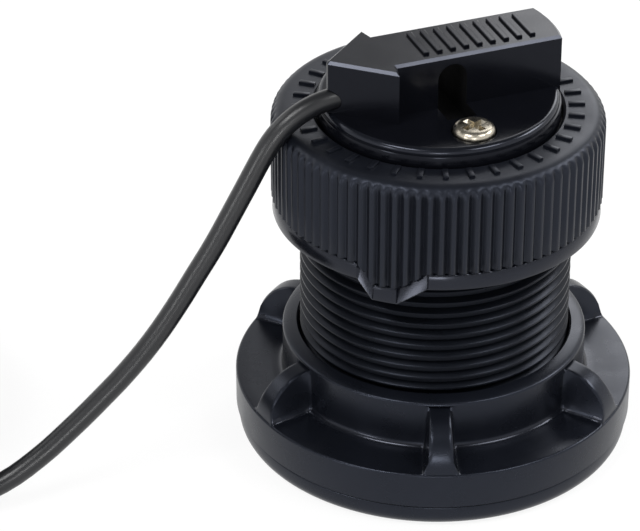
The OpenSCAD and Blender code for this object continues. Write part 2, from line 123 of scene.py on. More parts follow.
def drawOutline(name, points, closed=False):  # a plane merged to a vertex, extruded point to point
    clearSelection()
    bpy.ops.mesh.primitive_plane_add(size=10 * mm)
    piece = bpy.context.object
    piece.name = piece.data.name = name
    bpy.ops.object.mode_set(mode="EDIT")
    bpy.ops.mesh.select_mode(type="VERT")
    bpy.ops.mesh.select_all(action="SELECT")
    bpy.ops.mesh.merge(type="CENTER")
    bpy.ops.transform.translate(value=[c * mm for c in points[0]])
    for a, b in zip(points, points[1:]):
        step = [(q - p) * mm for p, q in zip(a, b)]
        bpy.ops.mesh.extrude_region_move(TRANSFORM_OT_translate={"value": step})
    bpy.ops.mesh.select_all(action="SELECT")
    if closed:
        bpy.ops.mesh.edge_face_add()
    return piece


def turnProfile(name, profile, steps):  # radius and height pairs, spun round the upright axis
    piece = drawOutline(name, [(r, 0, z) for r, z in profile])
    bpy.ops.mesh.spin(steps=steps, angle=2 * math.pi, center=(0, 0, 0), axis=(0, 0, 1))
    return closeMesh(piece)


def roundCorner(r, z, radius, start, end, steps=5):  # arc of a profile, angles in degrees
    angles = [math.radians(start + (end - start) * i / steps) for i in range(steps + 1)]
    return [(r + radius * math.cos(a), z + radius * math.sin(a)) for a in angles]


def ringTable(piece, profile, steps):  # which profile point and which column each vertex belongs to
    rings = {(round(r, 3), round(z, 3)): k for k, (r, z) in enumerate(profile)}
    table = []
    for v in piece.data.vertices:
        key = (round(math.hypot(v.co.x, v.co.y) / mm, 3), round(v.co.z / mm, 3))
        near = min(rings, key=lambda p: abs(p[0] - key[0]) + abs(p[1] - key[1]))
        column = round(math.degrees(math.atan2(v.co.y, v.co.x)) * steps / 360) % steps
        table.append((rings[near], column))
    return table


def shiftVerts(piece, indexes, scale=1, lift=0):  # draw vertices to or from the axis, up or down
    chosen = set(indexes)
    pickVerts(piece, lambda v: v.index in chosen)
    if scale != 1:
        bpy.ops.transform.resize(value=(scale, scale, 1), center_override=(0, 0, 0))
    if lift:
        bpy.ops.transform.translate(value=(0, 0, lift * mm))


def applyModifiers(piece):
    makeActive(piece)
    for name in [m.name for m in piece.modifiers]:
        bpy.ops.object.modifier_apply(modifier=name)


def combine(piece, tool, operation):  # boolean with a tool that is then thrown away
    work = piece.modifiers.new(operation.lower(), "BOOLEAN")
    work.operation = operation
    work.solver = "MANIFOLD"
    work.object = tool
    applyModifiers(piece)
    bpy.data.objects.remove(tool)


def rodTool(radius, start, end, axis="Z", steps=48):  # round cutter between two points along an axis
    clearSelection()
    turn = {"Z": (0, 0, 0), "X": (0, math.pi / 2, 0), "Y": (math.pi / 2, 0, 0)}[axis]
    middle = [(a + b) / 2 * mm for a, b in zip(start, end)]
    bpy.ops.mesh.primitive_cylinder_add(
        vertices=steps, radius=radius * mm, depth=math.dist(start, end) * mm,
        location=middle, rotation=turn)
    bpy.ops.object.transform_apply(location=True, rotation=True, scale=True)
    return bpy.context.object


def boxTool(low, high):  # cutter between two corners
    clearSelection()
    bpy.ops.mesh.primitive_cube_add(size=mm, location=[(a + b) / 2 * mm for a, b in zip(low, high)])
    bpy.context.object.scale = [b - a for a, b in zip(low, high)]
    bpy.ops.object.transform_apply(location=True, rotation=True, scale=True)
    return bpy.context.object


def joinPieces(piece, others):
    makeActive(piece)
    for other in others:
        other.select_set(True)
    bpy.ops.object.join()
    return piece


def settle(piece, place=(0, 0, 0), turn=(0, 0, 0)):  # put a piece in its place, in its mesh
    makeActive(piece)
    piece.location = [c * mm for c in place]
    piece.rotation_euler = [math.radians(a) for a in turn]
    bpy.ops.object.transform_apply(location=True, rotation=True, scale=True)
    return piece


def finishPiece(piece, body, material, slot, *nodes, angle=35):
    makeActive(piece)
    bpy.ops.object.shade_smooth_by_angle(angle=math.radians(angle))
    piece.data.materials.clear()
    piece.data.materials.append(material)
    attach(piece, body)
    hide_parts(*nodes)
    print(piece.name, len(piece.data.polygons), "faces")
    return piece


def refinish(piece, material, test):  # a second finish on the faces that pass the test
    piece.data.materials.append(material)
    for face in piece.data.polygons:
        if test(face):
            face.material_index = len(piece.data.materials) - 1


# materials

def linear(hexColour):  # sRGB hex to linear colour
    channels = [int(hexColour[i:i + 2], 16) / 255 for i in (1, 3, 5)]
    return [c / 12.92 if c <= 0.04045 else ((c + 0.055) / 1.055) ** 2.4 for c in channels] + [1]


def addNode(tree, kind, inputs, **settings):
    node = tree.nodes.new(kind)
    for key, value in settings.items():
        setattr(node, key, value)
    for key, value in inputs.items():
        if isinstance(value, bpy.types.NodeSocket):
            tree.links.new(value, node.inputs[key])
        else:
            node.inputs[key].default_value = value
    return node


def surfaceMaterial(s):  # mottled colour, uneven gloss and a fine bump, from one dictionary
    material = bpy.data.materials.new(s["name"])
    material.use_nodes = True
    tree = material.node_tree
    shader = tree.nodes["Principled BSDF"]
    where = addNode(tree, "ShaderNodeTexCoord", {}).outputs["Object"]
    stretch = s.get("stretch", (1, 1, 1))
    where = addNode(tree, "ShaderNodeMapping", {"Vector": where, "Scale": stretch}).outputs["Vector"]
    patch = addNode(tree, "ShaderNodeTexNoise",
                    {"Vector": where, "Scale": 1 / (s["patch"] * mm), "Detail": 3.0})
    tone = addNode(tree, "ShaderNodeMix", {"Factor": patch.outputs["Fac"]}, data_type="RGBA")
    tone.inputs["A"].default_value = linear(s["dark"])
    tone.inputs["B"].default_value = linear(s["light"])
    grain = addNode(tree, "ShaderNodeTexNoise",
                    {"Vector": where, "Scale": 1 / (s["grain"] * mm), "Detail": 2.0})
    gloss = addNode(tree, "ShaderNodeMapRange",  # the middle of the noise spans the two roughnesses
                    {"Value": patch.outputs["Fac"], "From Min": 0.3, "From Max": 0.7,
                     "To Min": s["rough"][0], "To Max": s["rough"][1]})
    relief = addNode(tree, "ShaderNodeBump",
                     {"Height": grain.outputs["Fac"], "Strength": s.get("bump", 0.3),
                      "Distance": s["relief"] * mm})
    tree.links.new(tone.outputs["Result"], shader.inputs["Base Color"])
    tree.links.new(gloss.outputs["Result"], shader.inputs["Roughness"])
    tree.links.new(relief.outputs["Normal"], shader.inputs["Normal"])
    shader.inputs["Metallic"].default_value = s.get("metallic", 0)
    shader.inputs["IOR"].default_value = s.get("ior", 1.5)
    shader.inputs["Specular Tint"].default_value = linear(s.get("tint", "#ffffff"))
    return material


# patch and grain are sizes in mm, relief is the depth of the grain in mm
finishes = {
    # glass-filled nylon from a spark-eroded mould: near black, cool, satin, with a fine even grain
    "black_plastic": {
        "name": "mouldedNylon", "dark": "#0b0d12", "light": "#101218", "patch": 6, "grain": 0.35,
        "relief": 0.02, "rough": (0.25, 0.33), "ior": 1.39, "tint": "#dae4ff"},
    # the cap's mould is eroded more coarsely: the same black with a duller, softer shine
    "cap_satin": {
        "name": "satinNylon", "dark": "#0b0d12", "light": "#101218", "patch": 6, "grain": 0.4,
        "relief": 0.03, "rough": (0.33, 0.43), "ior": 1.39, "tint": "#dae4ff"},
    # the housing's thread comes out of an unscrewing core with a dull skin; its darker colour is painted
    # shade where the thread sits between the nuts
    "housing_dull_painted_shade": {
        "name": "dullNylon", "dark": "#090b0f", "light": "#0e1015", "patch": 6, "grain": 0.4,
        "relief": 0.015, "rough": (0.27, 0.35), "ior": 1.25, "tint": "#dae4ff"},
    # edges that hands and spanners rub: the same black, burnished
    "edge_polish": {
        "name": "burnishedNylon", "dark": "#0b0d12", "light": "#101218", "patch": 6, "grain": 0.5,
        "relief": 0.008, "rough": (0.16, 0.22), "ior": 1.41, "tint": "#e4eaff"},
    # the handle comes from a polished tool: the same black with a clear shine
    "handle_gloss": {
        "name": "polishedNylon", "dark": "#090a0e", "light": "#0d0e13", "patch": 6, "grain": 0.5,
        "relief": 0.008, "rough": (0.14, 0.2), "ior": 1.27, "tint": "#e2e9ff"},
    # cored slot, left rough by the tool, and coloured a dead black, darker than the nylon: painted shade in
    # the deep slot
    "handle_slot": {
        "name": "coredSlot", "dark": "#050506", "light": "#08080a", "patch": 2, "grain": 0.3,
        "relief": 0.05, "rough": (0.75, 0.9), "ior": 1.2},
    # the same nylon from a plainer tool, a shade lighter and duller
    "insert_plastic": {
        "name": "insertNylon", "dark": "#111217", "light": "#16171c", "patch": 5, "grain": 0.3,
        "relief": 0.02, "rough": (0.36, 0.46), "ior": 1.53},
    # pickled stainless steel: bright, a little warm, with a fine grain
    "stainless_steel": {
        "name": "stainlessSteel", "dark": "#aaa395", "light": "#c8c1b2", "patch": 1.2, "grain": 0.15,
        "relief": 0.012, "rough": (0.22, 0.34), "metallic": 1},
    # nitrile rubber: dull black with a dusty bloom
    "seal_rubber": {
        "name": "nitrileRubber", "dark": "#1b1b1c", "light": "#262627", "patch": 2, "grain": 0.2,
        "relief": 0.02, "rough": (0.6, 0.75), "ior": 1.52},
    # cast epoxy: smooth grey black with slow clouds of filler
    "potting_resin": {
        "name": "castEpoxy", "dark": "#23262c", "light": "#30343b", "patch": 4, "grain": 0.6,
        "relief": 0.01, "rough": (0.22, 0.34), "ior": 1.55},
    # fired lead zirconate: pale buff, matt and finely pitted
    "piezo_ceramic": {
        "name": "firedCeramic", "dark": "#c3bca8", "light": "#d6d0be", "patch": 3, "grain": 0.15,
        "relief": 0.02, "rough": (0.5, 0.65), "ior": 1.7},
    # pressed cork: brown crumbs of several tones
    "cork": {
        "name": "pressedCork", "dark": "#6e4a2b", "light": "#c39766", "patch": 1.1, "grain": 0.5,
        "relief": 0.12, "rough": (0.75, 0.9), "bump": 0.7, "ior": 1.45},
    # drawn brass: yellow with lengthwise draw lines
    "probe_brass": {
        "name": "drawnBrass", "dark": "#a8893f", "light": "#c9aa5e", "patch": 2, "grain": 0.2,
        "relief": 0.01, "rough": (0.25, 0.4), "metallic": 1, "stretch": (1, 1, 0.1)},
    # green glass laminate: lacquer over a faint grain
    "board_laminate": {
        "name": "glassLaminate", "dark": "#155430", "light": "#1f6b3a", "patch": 0.8, "grain": 0.4,
        "relief": 0.02, "rough": (0.25, 0.4)},
    # sintered ferrite: dark grey, dense and slightly sparkling
    "ferrite": {
        "name": "sinteredFerrite", "dark": "#38383b", "light": "#4d4d51", "patch": 0.5, "grain": 0.15,
        "relief": 0.02, "rough": (0.4, 0.6), "ior": 2.0},
    # moulded epoxy packages: charcoal, matt
    "chip_plastic": {
        "name": "mouldedEpoxy", "dark": "#141518", "light": "#1d1e22", "patch": 1, "grain": 0.15,
        "relief": 0.015, "rough": (0.5, 0.65), "ior": 1.55},
    # extruded wire sleeve: plain red brown, slightly waxy
    "wire_sleeve": {
        "name": "extrudedSleeve", "dark": "#8f2d2a", "light": "#a83a36", "patch": 2, "grain": 0.3,
        "relief": 0.01, "rough": (0.35, 0.5)},
    # extruded polyurethane jacket: black, smooth along its length, with a soft even shine
    "cable_jacket": {
        "name": "extrudedJacket", "dark": "#131417", "light": "#1a1b1e", "patch": 8, "grain": 0.5,
        "relief": 0.015, "rough": (0.3, 0.38)},
    # woven nylon tape: dull black with a coarse grain
    "tie_webbing": {
        "name": "wovenTape", "dark": "#101013", "light": "#25262a", "patch": 0.6, "grain": 0.5,
        "relief": 0.15, "rough": (0.65, 0.8), "bump": 0.8},
    # nickel plate on brass: grey, bright, slightly yellow
    "nickel_plate": {
        "name": "nickelPlate", "dark": "#a3a29c", "light": "#bcbab3", "patch": 2, "grain": 0.2,
        "relief": 0.008, "rough": (0.2, 0.32), "metallic": 1},
    # gold flash on brass pins
    "gold_plate": {
        "name": "goldPlate", "dark": "#c89b3c", "light": "#e0b65a", "patch": 1, "grain": 0.1,
        "relief": 0.005, "rough": (0.15, 0.25), "metallic": 1},
}
materials = {slot: surfaceMaterial(s) for slot, s in finishes.items()}
print("materials:", len(materials))

for entry in frame["record"]["subparts"]:  # all CAD nodes, for those that stay in view
    node = frame["nodes"][entry["node"]]
    node.data.materials.clear()
    node.data.materials.append(materials[entry["material_slot"]])


# cable: out of the arrow's point, down to the floor, wound into a coil and up to the connector

cableRun = {
    "diameter": 4,
    "length": 5.95,  # metres
    "exit": (21.8, 0, 73.6),
    "lead": [(11.5, 0, 73.6), (19.4, 0, 73.6), (22, 0, 73.37), (24.5, 0, 72.74), (26.9, 0, 71.73),
             (29.1, 0, 70.35), (31.06, 0, 68.64), (32.73, 0, 66.65), (34.15, 0, 64.47), (35.5, 0, 62.15),
             (37.2, 0, 59.1), (40.1, 0, 54), (43.5, 0, 48.1), (47.5, 0, 42), (51.5, 0, 36), (56, 0, 30),
             (61, 0, 24.5), (66.5, 0, 19.4), (72.5, 0, 14.3), (79, 0, 9.4), (86, 0, 5.6), (94, 0, 3.6),
             (102, 0, 3.2), (108, 0, 3.2), (114, 0, 3.2)],
    "coilCentre": (121, -40),
    "outerTurn": 40,  # radius of the outermost turn
    "floor": 3.2,  # height of the lowest turns
    "layers": 6,
    "layerTurn": 1980,  # degrees in a full layer: half a turn, then five whole ones
    "firstShift": 180,  # degrees into a layer at the middle of its first move sideways
    "layerShifts": 5,
    "lastShifts": 3,  # the top layer stops short of the outer turns
    "climbShift": 1860,  # degrees into a layer at the middle of the move up
    "endShort": 60,  # degrees by which the coil stops short of where its next move would be
    "turnStep": 15,  # degrees between the points of a turn
    "riseSteps": 6,  # steps from the last turn to the tail
    "shiftSpan": 120,  # degrees that a turn takes to move over or up by one diameter
    "tail": [(20, 34.5, 27.25), (24.5, 31, 27.85), (28, 26.5, 29.15), (30.2, 21, 30.85), (31, 15.5, 32.45),
             (31, 8, 33.05)],  # from the coil's centre
    "knotSteps": 3,  # pieces of the curve from point to point
    "roundSteps": 4,  # the round section has 4 sides and twice this many more
}


def easeStep(x):
    x = min(max(x, 0), 1)
    return x * x * (3 - 2 * x)


def coilPoint(run, wound):  # place after so many degrees of winding, clockwise from above
    step, span, lastLayer = run["diameter"], run["shiftSpan"], run["layers"] - 1
    radius, height = run["outerTurn"], run["floor"]
    for layer in range(run["layers"]):
        into = wound - layer * run["layerTurn"]
        for k in range(run["layerShifts"] if layer < lastLayer else run["lastShifts"]):
            moved = easeStep((into - run["firstShift"] - 360 * k) / span + 0.5)
            radius += moved * (step if layer % 2 else -step)
        if layer < lastLayer:
            height += step * easeStep((into - run["climbShift"]) / span + 0.5)
    a = math.radians(90 - wound)
    x, y = run["coilCentre"]
    return (x + radius * math.cos(a), y + radius * math.sin(a), height)


def layCable(run):
    woundEnd = run["layerTurn"] * (run["layers"] - 1) + run["firstShift"] + 360 * run["lastShifts"]
    woundEnd -= run["endShort"]
    points = list(run["lead"])
    points += [coilPoint(run, w) for w in range(0, woundEnd + 1, run["turnStep"])]
    lastTurn = coilPoint(run, woundEnd)
    cx, cy = run["coilCentre"]
    tail = [(cx + x, cy + y, z) for x, y, z in run["tail"]]
    a0, a1 = (math.degrees(math.atan2(p[1] - cy, p[0] - cx)) % 360 for p in (lastTurn, tail[0]))
    r0, r1 = (math.hypot(p[0] - cx, p[1] - cy) for p in (lastTurn, tail[0]))
    z0, z1 = lastTurn[2], tail[0][2]
    for i in range(1, run["riseSteps"]):  # out and up over the outer turns
        t = i / run["riseSteps"]
        a, r = math.radians(a0 + (a1 - a0) * t), r0 + (r1 - r0) * easeStep(t)
        points.append((cx + r * math.cos(a), cy + r * math.sin(a), z0 + (z1 - z0) * easeStep(t)))
    points += tail
    curve = bpy.data.curves.new("signalCable", "CURVE")
    curve.dimensions = "3D"
    curve.resolution_u = run["knotSteps"]
    curve.bevel_depth = run["diameter"] / 2 * mm
    curve.bevel_resolution = run["roundSteps"]
    curve.use_fill_caps = True
    spline = curve.splines.new("BEZIER")
    spline.bezier_points.add(len(points) - 1)
    for knot, p in zip(spline.bezier_points, points):
        knot.co = [c * mm for c in p]
        knot.handle_left_type = knot.handle_right_type = "AUTO"
    cable = bpy.data.objects.new("signalCable", curve)
    bpy.context.scene.collection.objects.link(cable)
    curve.materials.append(materials["cable_jacket"])
    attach(cable, "transducer")
    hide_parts("cable", "cable_coil", "cable_tail")
    print("cable points:", len(points))
    return cable


signalCable = layCable(cableRun)


# housing: hull flange, threaded barrel and bore

housing = {
    "boreRadius": 20,
    "boreEdge": 0.5,
    "rootRadius": 24.2,
    "rootFillet": 0.6,
    "endChamfer": 0.8,
    "height": 62,
    "flangeRadius": 37.2,
    "flangeThickness": 4.5,
    "flangeEdge": 2.6,  # rounding underneath
    "flangeLip": 0.35,  # rounding on top
    "columns": 144,
    "threadRadius": 25.4,
    "threadStart": 6.2,
    "threadTurns": 23.5,
    "pitch": 2.3,
    "stepsPerTurn": 96,
    "toothSunk": 0.5,  # how far a tooth reaches into the barrel
    "toothBase": 1.02,  # half its height there
    "toothShoulder": (0.16, 0.3),  # in from the crest, and half the height there
    "toothCrest": 0.13,  # half the flat of the crest
    "notch": ((19, -2.7, 57.8), (23, 2.7, 63)),  # slot at the top of the bore
}


def makeHousing(s):
    flange, thick, edge, lip = s["flangeRadius"], s["flangeThickness"], s["flangeEdge"], s["flangeLip"]
    root, bore, top = s["rootRadius"], s["boreRadius"], s["height"]
    fillet, chamfer, ease = s["rootFillet"], s["endChamfer"], s["boreEdge"]
    profile = [(bore, ease), (bore + ease, 0)]
    profile += roundCorner(flange - edge, edge, edge, -90, 0, 8)
    profile += roundCorner(flange - lip, thick - lip, lip, 0, 90, 3)
    profile += [(root + fillet, thick), (root, thick + fillet)]
    profile += [(root, top - chamfer), (root - chamfer, top)]
    profile += [(bore + ease, top), (bore, top - ease), (bore, ease)]
    barrel = turnProfile("threadedHousing", profile, s["columns"])
    combine(barrel, makeThread(s), "UNION")
    combine(barrel, boxTool(*s["notch"]), "DIFFERENCE")
    return barrel


def makeThread(s):  # one tooth, carried up the barrel by the screw modifier
    crest, inside = s["threadRadius"], s["rootRadius"] - s["toothSunk"]
    inward, half = s["toothShoulder"]
    lower = [(inside, -s["toothBase"]), (crest - inward, -half), (crest, -s["toothCrest"])]
    tooth = lower + [(r, -z) for r, z in reversed(lower)]
    thread = drawOutline("threadTooth", [(r, 0, z + s["threadStart"]) for r, z in tooth + tooth[:1]])
    bpy.ops.mesh.remove_doubles(threshold=mergeGap)
    bpy.ops.object.mode_set(mode="OBJECT")
    climb = thread.modifiers.new("climb", "SCREW")
    climb.axis = "Z"
    climb.angle = 2 * math.pi * s["threadTurns"]
    climb.screw_offset = s["pitch"] * s["threadTurns"] * mm
    climb.steps = climb.render_steps = int(s["stepsPerTurn"] * s["threadTurns"])
    climb.iterations = 1
    applyModifiers(thread)
    openMesh(thread)
    bpy.ops.mesh.select_all(action="SELECT")
    bpy.ops.mesh.fill_holes(sides=0)
    return closeMesh(thread)


def onFlange(face, s):
    return face.center.z < s["flangeThickness"] * mm + hair


# the housing in the darker nylon, painted shade on the thread; its flange is then refinished in the plain
# black
threadedHousing = finishPiece(
    makeHousing(housing), "transducer", materials["housing_dull_painted_shade"], "black_plastic", "housing")
refinish(threadedHousing, materials["black_plastic"], lambda face: onFlange(face, housing))


# hull nut: flange, collar and gusset ribs

hullNut = {
    "foot": 4.5,
    "footEdge": 0.5,
    "boreRadius": 25.7,
    "boreEdge": 0.6,  # chamfer at the foot of the bore
    "flangeRadius": 37.7,
    "flangeTop": 12,
    "flangeEdge": 0.5,
    "flatRings": (35, 33, 31),  # radii of the flange's rings that the ribs lift
    "fillet": 1.2,
    "filletLean": (0.3, 0.95),  # how far its faces look up, least and most
    "collarRadius": 28.7,
    "collarTop": 22.2,
    "wallRings": (15, 16.6, 18.2, 19.8, 21),  # heights of the collar's rings that the ribs draw out
    "rimRounding": 0.6,
    "rimDrop": 1.1,  # from the top down to the rounding's centre
    "rimCrown": ((0.9, 0.36), (1.7, 0.14)),  # in from the collar and down from the top
    "rimEdge": 0.4,  # chamfer at the top of the bore
    "ribTurn": 9.5,  # degrees from the arrow to the first rib
    "ribCount": 6,
    "ribReach": 37.4,  # radius of a rib's foot
    "ribTop": 20.6,
    "ribRoot": (0.4, 0.3),  # where a rib's arc is centred: inside the collar, under the flange's top
    "ribLead": 0.2,  # share of a ring by which the arc has started at the first one
    "edgeRings": 4,  # rings of the flange's edge that belong to a rib
    "columns": 720,
    # how much of the rib's shape a column takes, by its angle from the rib's middle
    "ribFlank": {0: 1, 0.5: 1, 1: 1, 1.5: 1, 2: 1, 2.5: 1, 3: 0.995, 3.5: 0.96,
                 4: 0.66, 4.5: 0.34, 5: 0.09, 5.5: 0.02},
}


def makeHullNut(s):
    foot, flat, top = s["foot"], s["flangeTop"], s["collarTop"]
    bore, collar, rim = s["boreRadius"], s["collarRadius"], s["flangeRadius"]
    edge, fillet, rounding, ease = s["flangeEdge"], s["fillet"], s["rimRounding"], s["rimEdge"]
    outside = [(bore + s["boreEdge"], foot), (rim - s["footEdge"], foot), (rim, foot + s["footEdge"])]
    outside += roundCorner(rim - edge, flat - edge, edge, 0, 90, 6)
    ribStart = len(outside) - s["edgeRings"]
    outside += [(r, flat) for r in s["flatRings"]]
    outside += roundCorner(collar + fillet, flat + fillet, fillet, -90, -180, 4)
    outside += [(collar, z) for z in s["wallRings"]]
    ribEnd = len(outside)
    outside += roundCorner(collar - rounding, top - s["rimDrop"], rounding, 0, 60, 4)
    outside += [(collar - inward, top - down) for inward, down in s["rimCrown"]]
    outside += [(bore + ease, top), (bore, top - ease), (bore, foot + s["boreEdge"])]
    nut = turnProfile("hullNut", outside + outside[:1], s["columns"])

    table = ringTable(nut, outside, s["columns"])
    perRib = s["columns"] // s["ribCount"]
    middle = round(s["ribTurn"] * s["columns"] / 360)
    rootR, rootZ = collar - s["ribRoot"][0], flat - s["ribRoot"][1]
    openMesh(nut)
    for k in range(ribStart, ribEnd):
        r, z = outside[k]
        a = math.radians(90 * (k - ribStart + s["ribLead"]) / (ribEnd - ribStart - 1 + s["ribLead"]))
        ribR = rootR + (s["ribReach"] - rootR) * math.cos(a)
        ribZ = rootZ + (s["ribTop"] - rootZ) * math.sin(a)
        for share in sorted(set(s["ribFlank"].values())):
            offsets = {round(o * s["columns"] / 360) for o, b in s["ribFlank"].items() if b == share}
            chosen = [i for i, (ring, column) in enumerate(table) if ring == k
                      and abs((column - middle + perRib // 2) % perRib - perRib // 2) in offsets]
            shiftVerts(nut, chosen, (r + share * (ribR - r)) / r, share * (ribZ - z))
    return closeMesh(nut)


def inFillet(face, s):  # the rounded foot of the collar
    low, high = s["flangeTop"] * mm, (s["flangeTop"] + s["fillet"]) * mm
    least, most = s["filletLean"]
    return low < face.center.z < high and least < face.normal.z < most


ribbedNut = finishPiece(
    makeHullNut(hullNut), "hull_nut", materials["black_plastic"], "black_plastic", "hull_nut")
refinish(ribbedNut, materials["edge_polish"], lambda face: inFillet(face, hullNut))


# cap nut: grip ribs, plain lip with a tab, and ticks on the top face

capNut = {
    "foot": 47.2,
    "top": 68,
    "under": 65.1,
    "boreRadius": 25.7,
    "boreEdge": 0.4,  # chamfer at the top of the bore
    "mouthEdge": 0.5,  # chamfer at its foot
    "holeRadius": 22.8,
    "holeEdge": 0.5,
    "lipRadius": 30.5,
    "lipFoot": ((0.3, 0), (0.06, 0.1), (0, 0.3)),  # in from the lip, up from the foot
    "lipHead": ((0.25, 0.4), (0.45, 0.1)),  # in from the lip, down from the grip's foot
    "gripRadius": 30.7,
    "gripDepth": 0.8,
    "gripCount": 90,
    "gripFoot": 50.2,
    "gripStart": (0.35, 0.4),  # chamfer at the grip's foot: in, up
    "gripRings": (56, 61),
    "edge": 2.6,
    "crownRings": (26.8, 24.4),
    "columnsPerRib": 8,
    "groove": [0, 0, 0.03, 0.3, 0.8, 1, 0.8, 0.3],  # depth of each column of a rib
    "fade": {0: 1, 1: 0.9, 2: 0.6, 3: 0.25},  # grooves run out over the rounded shoulder
    "tabDrop": 3.6,
    "tabAngles": (39.5, 45, 54, 64),  # degrees from the arrow: top, foot, foot, top
    "tabBevel": 0.75,  # how far the tab's slanted edges lean in at their upper side
    "tickCount": 36,
    "tickRadii": (23.8, 26.8),
    "tickWidth": 1,
    "tickHeight": 0.4,
    "tickSunk": 0.2,
    "tickEase": (0.12, 0.06),  # eased edge of a tick: in, up
}


def makeCapNut(s):
    columns = s["gripCount"] * s["columnsPerRib"]
    foot, gripFoot, under, top = s["foot"], s["gripFoot"], s["under"], s["top"]
    bore, hole, edge = s["boreRadius"], s["holeRadius"], s["edge"]
    lip, grip = s["lipRadius"], s["gripRadius"]
    mouth = [(bore, foot + s["mouthEdge"]), (bore + s["mouthEdge"], foot)]
    lipSide = [(lip - inward, foot + up) for inward, up in s["lipFoot"]]
    lipSide += [(lip - inward, gripFoot - down) for inward, down in s["lipHead"]]
    gripped = [(grip - s["gripStart"][0], gripFoot), (grip, gripFoot + s["gripStart"][1])]
    gripped += [(grip, z) for z in s["gripRings"]]
    shoulder = roundCorner(grip - edge, top - edge, edge, 0, 90, 7)
    crown = [(r, top) for r in s["crownRings"]]
    crown += [(hole + s["holeEdge"], top), (hole, top - s["holeEdge"]), (hole, under)]
    crown += [(bore - s["boreEdge"], under), (bore, under - s["boreEdge"])]
    profile = mouth + lipSide + gripped + shoulder + crown
    cap = turnProfile("capNut", profile + profile[:1], columns)

    table = ringTable(cap, profile, columns)
    openMesh(cap)
    first = len(mouth + lipSide)  # first ring of the grip
    for k in range(first, first + len(gripped) + len(s["fade"])):
        r = profile[k][0]
        fade = s["fade"].get(k - first - len(gripped), 1)
        for share in sorted(set(s["groove"]) - {0}):
            chosen = [i for i, (ring, column) in enumerate(table)
                      if ring == k and s["groove"][column % s["columnsPerRib"]] == share]
            shiftVerts(cap, chosen, (r - s["gripDepth"] * fade * share) / r)
    a, b, c, d = (round(angle * columns / 360) for angle in s["tabAngles"])
    for column in range(a, d + 1):  # the lip and the grip's foot come down together
        here = [(i, ring) for i, (ring, other) in enumerate(table) if other == column]
        drop = min((column - a) / (b - a), 1, (d - column) / (d - c)) * s["tabDrop"]
        shiftVerts(cap, [i for i, ring in here if ring < first + 2], 1, -drop)
        if not b < column < c:
            leaning = [i for i, ring in here if ring in (first - 2, first - 1)]
            shiftVerts(cap, leaning, 1 - s["tabBevel"] / lip)
    closeMesh(cap)
    return joinPieces(cap, [makeTicks(s)])


def makeTicks(s):  # one raised tick, copied round the top face
    inner, outer = s["tickRadii"]
    half, low, high = s["tickWidth"] / 2, s["top"] - s["tickSunk"], s["top"] + s["tickHeight"]
    inset, rise = s["tickEase"]
    corners = [(inner, -half, low), (outer, -half, low), (outer, half, low), (inner, half, low)]
    tick = drawOutline("ticks", corners, True)
    bpy.ops.mesh.extrude_region_move(TRANSFORM_OT_translate={"value": (0, 0, (high - low) * mm)})
    bpy.ops.mesh.inset(thickness=inset * mm, depth=0)
    bpy.ops.transform.translate(value=(0, 0, rise * mm))
    bpy.ops.mesh.select_all(action="SELECT")
    bpy.ops.mesh.spin(
        steps=s["tickCount"], dupli=True, angle=2 * math.pi, center=(0, 0, 0), axis=(0, 0, 1))
    return closeMesh(tick)


def onLip(face, s):  # the lip and its tab
    return face.center.z < s["gripFoot"] * mm


grippedCap = finishPiece(makeCapNut(capNut), "cap_nut", materials["cap_satin"], "black_plastic", "cap_nut")
refinish(grippedCap, materials["edge_polish"], lambda face: onLip(face, capNut))


# handle: round head, arrow with a slot, and raised bars

handle = {
    "under": 66.5,
    "headRadius": 22.4,
    "headTop": 71.1,
    "headEdge": 0.4,
    "rimStep": ((0, 1.5), (0.1, 1.3), (0.35, 1.2), (0.35, 0.95)),  # in from the head, down from its top
    "rimRounding": 0.95,
    "rimInset": 1.3,  # from the head in to the rounding's centre
    "rimFlat": 1.5,  # from the head in to the flat top
    "columns": 144,
    "rimZone": (1.6, 1.2, 0.005),  # what counts as rim: in from the head, lowest and highest below its top
    "arrowTop": 81.3,
    "arrowSunk": 1.7,
    "tailRadius": 22.3,
    "tailShares": (-1, -0.6, -0.2, 0.2, 0.6, 1),  # points along the round tail
    "shaftHalf": 6.2,
    "barb": (11.6, 9.2),
    "neck": 10.8,
    "point": (21.8, 0.4),
    "edge": 0.5,
    "edgeLean": (0.5, 0.9),  # how far its eased faces look up, least and most
    "squareOn": 0.9,  # least part of a normal for a face that looks along an axis
    "slotHalf": 2.8,
    "slotReach": 11,
    "slotFloor": 67.9,
    "slotTop": 79.6,
    "well": (9, 4.2),  # place and radius of the upright bore for the wires
    "wellRise": 3.2,  # its end above the cable
    "cableHeight": 73.6,
    "cableBore": (2.1, 23),  # radius and far end
    "glandBore": (3.25, 16.1),
    "screwPlace": 16.2,
    "screwSeat": 70.6,
    "screwHole": 1.7,
    "screwSink": 4.1,
    "cutPast": 1,  # how far a cutter runs past a face
    "barStart": -17,
    "barStep": 2.6,
    "barCount": 9,
    "barSize": (1, 8.4, 0.5),
    "barSunk": 0.2,
    "barEase": (0.14, 0.1),  # eased edge of a bar: in, up
}


